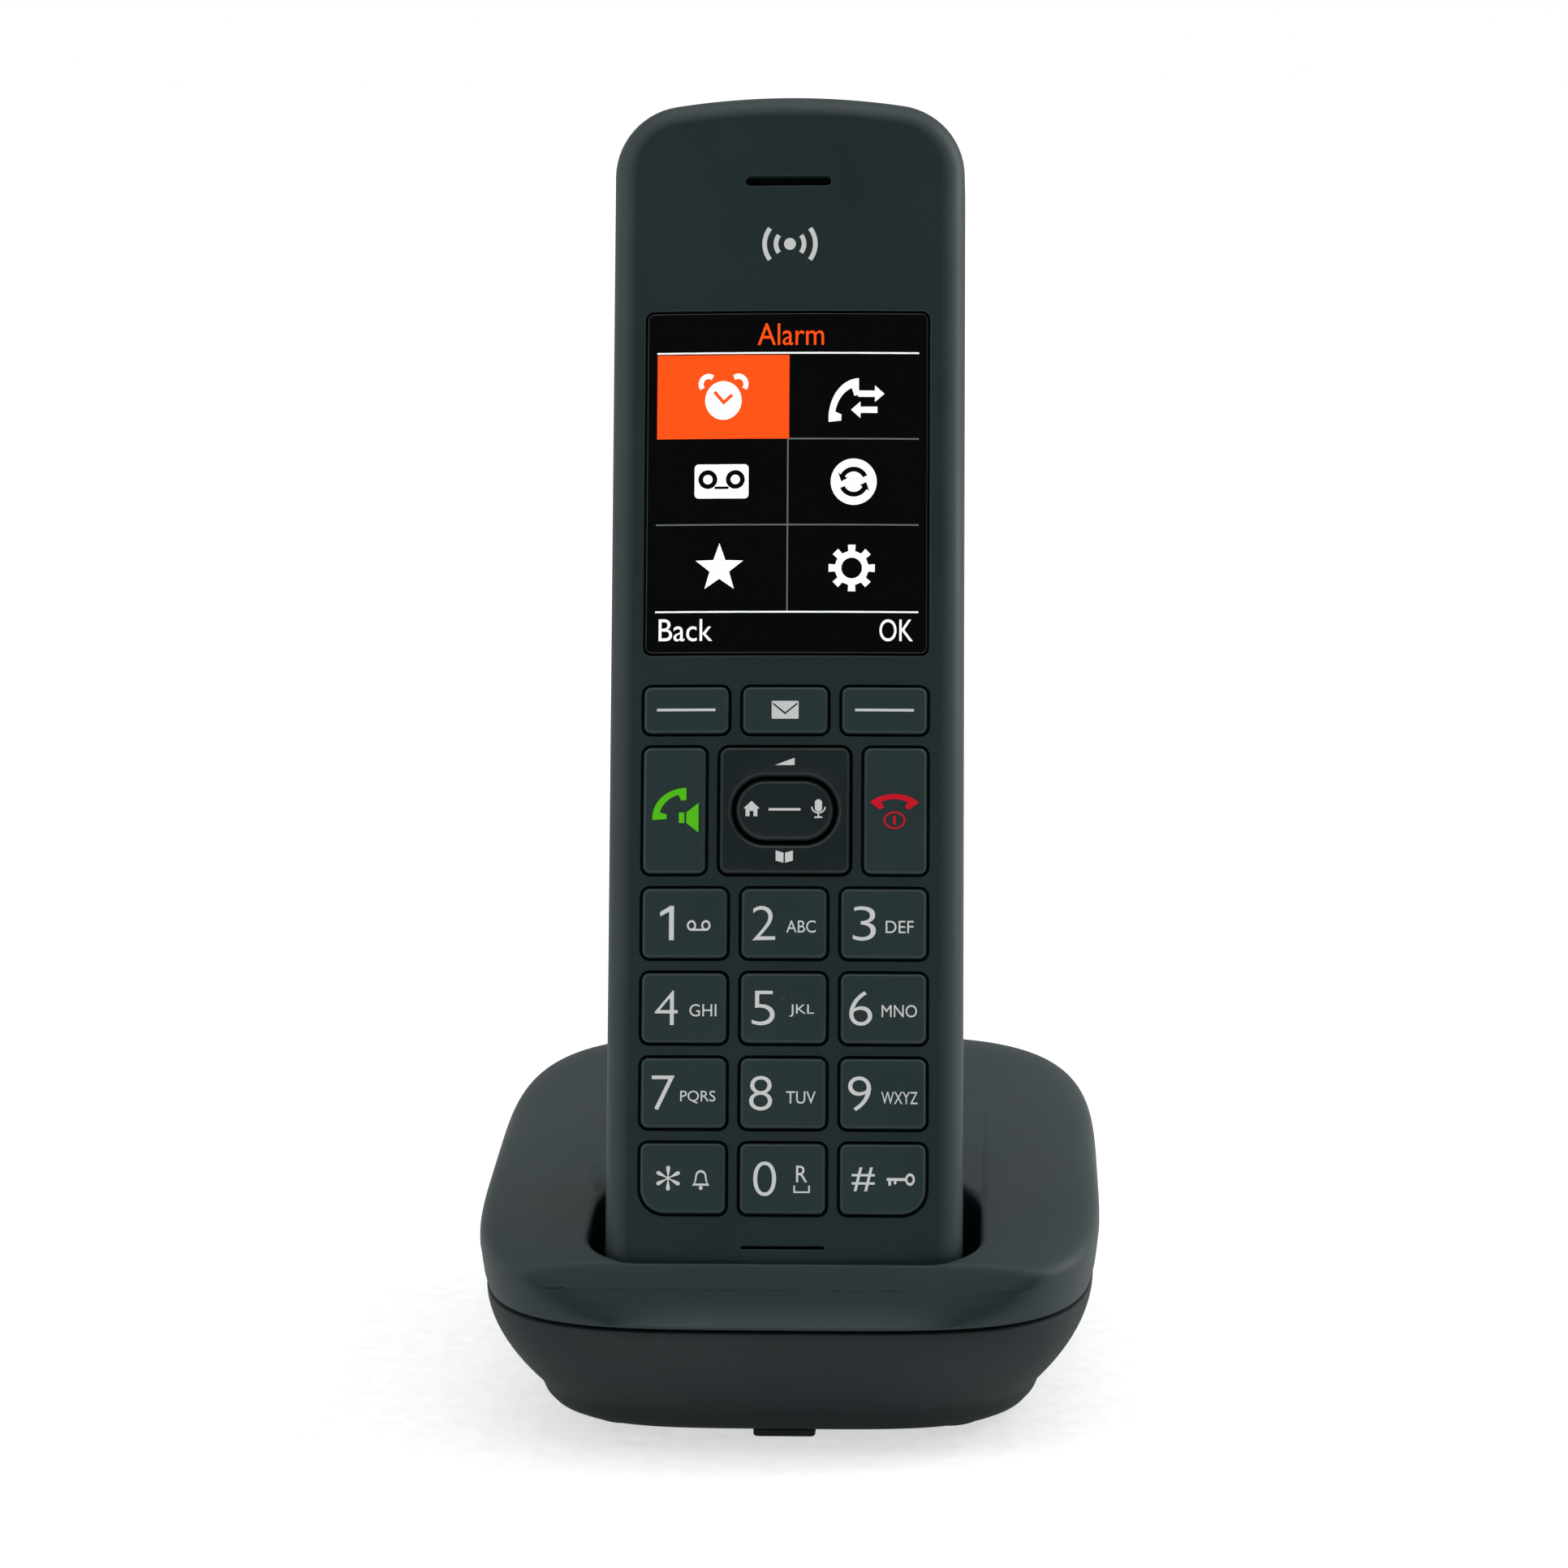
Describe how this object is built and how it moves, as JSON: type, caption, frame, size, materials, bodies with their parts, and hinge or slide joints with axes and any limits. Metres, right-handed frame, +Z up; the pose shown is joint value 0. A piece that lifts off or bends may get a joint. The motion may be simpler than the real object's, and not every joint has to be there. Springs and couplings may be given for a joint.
{
  "type": "cordless phone with base",
  "caption": "Cordless telephone handset with colour display and keypad, leaning back in a pillow-shaped charging cradle with a pocket, spring contacts and rear sockets.",
  "frame": {"origin": "middle of the cradle's footprint, on the surface it stands on", "axes": "+Z up, the handset's face looks towards -Y, +X to the right seen from the front"},
  "size_m": [0.084, 0.0952, 0.1735],
  "materials": {
    "body_plastic": "satin dark slate, fine texture",
    "lower_plastic": "grained dark slate",
    "key_plastic": "satin dark slate keys with white legends",
    "rocker_plastic": "satin near-black",
    "window_plastic": "clear glossy window over a dark frame",
    "display_glass": "colour display",
    "foam": "black foam",
    "silicone": "grey silicone",
    "circuit_board": "green circuit board",
    "contact_metal": "gold-plated spring metal",
    "steel": "plated steel",
    "cell_label": "printed cell sleeve",
    "rubber": "black rubber",
    "socket_plastic": "black socket plastic"
  },
  "bodies": {
    "base": {"base_top_shell": "body_plastic", "base_bottom_shell": "lower_plastic", "base_front_tab": "lower_plastic", "base_circuit_board": "circuit_board", "line_jack": "socket_plastic", "power_jack": "socket_plastic", "base_screw_1": "steel", "base_screw_2": "steel", "base_screw_3": "steel", "base_screw_4": "steel", "foot_front_left": "rubber", "foot_front_right": "rubber", "foot_rear_left": "rubber", "foot_rear_right": "rubber"},
    "handset": {"handset_front_shell": "body_plastic", "handset_rear_shell": "body_plastic", "display_window": "window_plastic", "display_gasket": "foam", "display_panel": "display_glass", "keypad_mat": "silicone", "handset_circuit_board": "circuit_board", "earpiece_speaker": "steel", "ringer_speaker": "steel", "microphone": "contact_metal", "battery_bay": "body_plastic", "battery_1": "cell_label", "battery_2": "cell_label", "battery_contact_low": "steel", "battery_contact_high": "steel", "charge_pad_left": "contact_metal", "charge_pad_right": "contact_metal", "handset_screw_left": "steel", "handset_screw_right": "steel"},
    "key_star": {"key_star": "key_plastic"},
    "key_zero": {"key_zero": "key_plastic"},
    "key_hash": {"key_hash": "key_plastic"},
    "key_seven": {"key_seven": "key_plastic"},
    "key_eight": {"key_eight": "key_plastic"},
    "key_nine": {"key_nine": "key_plastic"},
    "key_four": {"key_four": "key_plastic"},
    "key_five": {"key_five": "key_plastic"},
    "key_six": {"key_six": "key_plastic"},
    "key_one": {"key_one": "key_plastic"},
    "key_two": {"key_two": "key_plastic"},
    "key_three": {"key_three": "key_plastic"},
    "key_talk": {"key_talk": "key_plastic"},
    "key_end": {"key_end": "key_plastic"},
    "key_soft_left": {"key_soft_left": "key_plastic"},
    "key_message": {"key_message": "key_plastic"},
    "key_soft_right": {"key_soft_right": "key_plastic"},
    "nav_rocker": {"nav_rocker": "rocker_plastic"},
    "nav_oval_key": {"nav_oval_key": "key_plastic"},
    "battery_cover": {"battery_cover": "body_plastic"},
    "page_key": {"page_key": "key_plastic"},
    "base_contact_left": {"base_contact_left": "contact_metal"},
    "base_contact_right": {"base_contact_right": "contact_metal"}
  },
  "joints": [
    {"name": "handset_lift", "type": "slide", "parent": "base", "child": "handset", "axis": [0, 0.2756, 0.9613], "range_m": [0, 0.06]},
    {"name": "key_star_press", "type": "slide", "parent": "handset", "child": "key_star", "axis": [0, 0.9613, -0.2756], "range_m": [0, 0.0005], "stiffness_N_per_m": 300},
    {"name": "key_zero_press", "type": "slide", "parent": "handset", "child": "key_zero", "axis": [0, 0.9613, -0.2756], "range_m": [0, 0.0005], "stiffness_N_per_m": 300},
    {"name": "key_hash_press", "type": "slide", "parent": "handset", "child": "key_hash", "axis": [0, 0.9613, -0.2756], "range_m": [0, 0.0005], "stiffness_N_per_m": 300},
    {"name": "key_seven_press", "type": "slide", "parent": "handset", "child": "key_seven", "axis": [0, 0.9613, -0.2756], "range_m": [0, 0.0005], "stiffness_N_per_m": 300},
    {"name": "key_eight_press", "type": "slide", "parent": "handset", "child": "key_eight", "axis": [0, 0.9613, -0.2756], "range_m": [0, 0.0005], "stiffness_N_per_m": 300},
    {"name": "key_nine_press", "type": "slide", "parent": "handset", "child": "key_nine", "axis": [0, 0.9613, -0.2756], "range_m": [0, 0.0005], "stiffness_N_per_m": 300},
    {"name": "key_four_press", "type": "slide", "parent": "handset", "child": "key_four", "axis": [0, 0.9613, -0.2756], "range_m": [0, 0.0005], "stiffness_N_per_m": 300},
    {"name": "key_five_press", "type": "slide", "parent": "handset", "child": "key_five", "axis": [0, 0.9613, -0.2756], "range_m": [0, 0.0005], "stiffness_N_per_m": 300},
    {"name": "key_six_press", "type": "slide", "parent": "handset", "child": "key_six", "axis": [0, 0.9613, -0.2756], "range_m": [0, 0.0005], "stiffness_N_per_m": 300},
    {"name": "key_one_press", "type": "slide", "parent": "handset", "child": "key_one", "axis": [0, 0.9613, -0.2756], "range_m": [0, 0.0005], "stiffness_N_per_m": 300},
    {"name": "key_two_press", "type": "slide", "parent": "handset", "child": "key_two", "axis": [0, 0.9613, -0.2756], "range_m": [0, 0.0005], "stiffness_N_per_m": 300},
    {"name": "key_three_press", "type": "slide", "parent": "handset", "child": "key_three", "axis": [0, 0.9613, -0.2756], "range_m": [0, 0.0005], "stiffness_N_per_m": 300},
    {"name": "key_talk_press", "type": "slide", "parent": "handset", "child": "key_talk", "axis": [0, 0.9613, -0.2756], "range_m": [0, 0.0005], "stiffness_N_per_m": 300},
    {"name": "key_end_press", "type": "slide", "parent": "handset", "child": "key_end", "axis": [0, 0.9613, -0.2756], "range_m": [0, 0.0005], "stiffness_N_per_m": 300},
    {"name": "key_soft_left_press", "type": "slide", "parent": "handset", "child": "key_soft_left", "axis": [0, 0.9613, -0.2756], "range_m": [0, 0.0005], "stiffness_N_per_m": 300},
    {"name": "key_message_press", "type": "slide", "parent": "handset", "child": "key_message", "axis": [0, 0.9613, -0.2756], "range_m": [0, 0.0005], "stiffness_N_per_m": 300},
    {"name": "key_soft_right_press", "type": "slide", "parent": "handset", "child": "key_soft_right", "axis": [0, 0.9613, -0.2756], "range_m": [0, 0.0005], "stiffness_N_per_m": 300},
    {"name": "nav_rocker_tilt", "type": "hinge", "parent": "handset", "child": "nav_rocker", "pos_m": [0, -0.02222, 0.08099], "axis": [1, 0, 0], "range_deg": [-2.5, 2.5], "stiffness_Nm_per_rad": 0.3},
    {"name": "nav_oval_tilt", "type": "hinge", "parent": "nav_rocker", "child": "nav_oval_key", "pos_m": [0, -0.02222, 0.08099], "axis": [0, 0.2756, 0.9613], "range_deg": [-3, 3], "stiffness_Nm_per_rad": 0.3},
    {"name": "battery_cover_swing", "type": "hinge", "parent": "handset", "child": "battery_cover", "pos_m": [0, -0.00767, 0.04777], "axis": [-1, 0, 0], "range_deg": [0, 75]},
    {"name": "page_key_press", "type": "slide", "parent": "base", "child": "page_key", "axis": [0, -1, 0], "range_m": [0, 0.0005], "stiffness_N_per_m": 300},
    {"name": "base_contact_left_spring", "type": "slide", "parent": "base", "child": "base_contact_left", "axis": [0, -0.2756, -0.9613], "range_m": [0, 0.001], "stiffness_N_per_m": 200},
    {"name": "base_contact_right_spring", "type": "slide", "parent": "base", "child": "base_contact_right", "axis": [0, -0.2756, -0.9613], "range_m": [0, 0.001], "stiffness_N_per_m": 200}
  ]
}
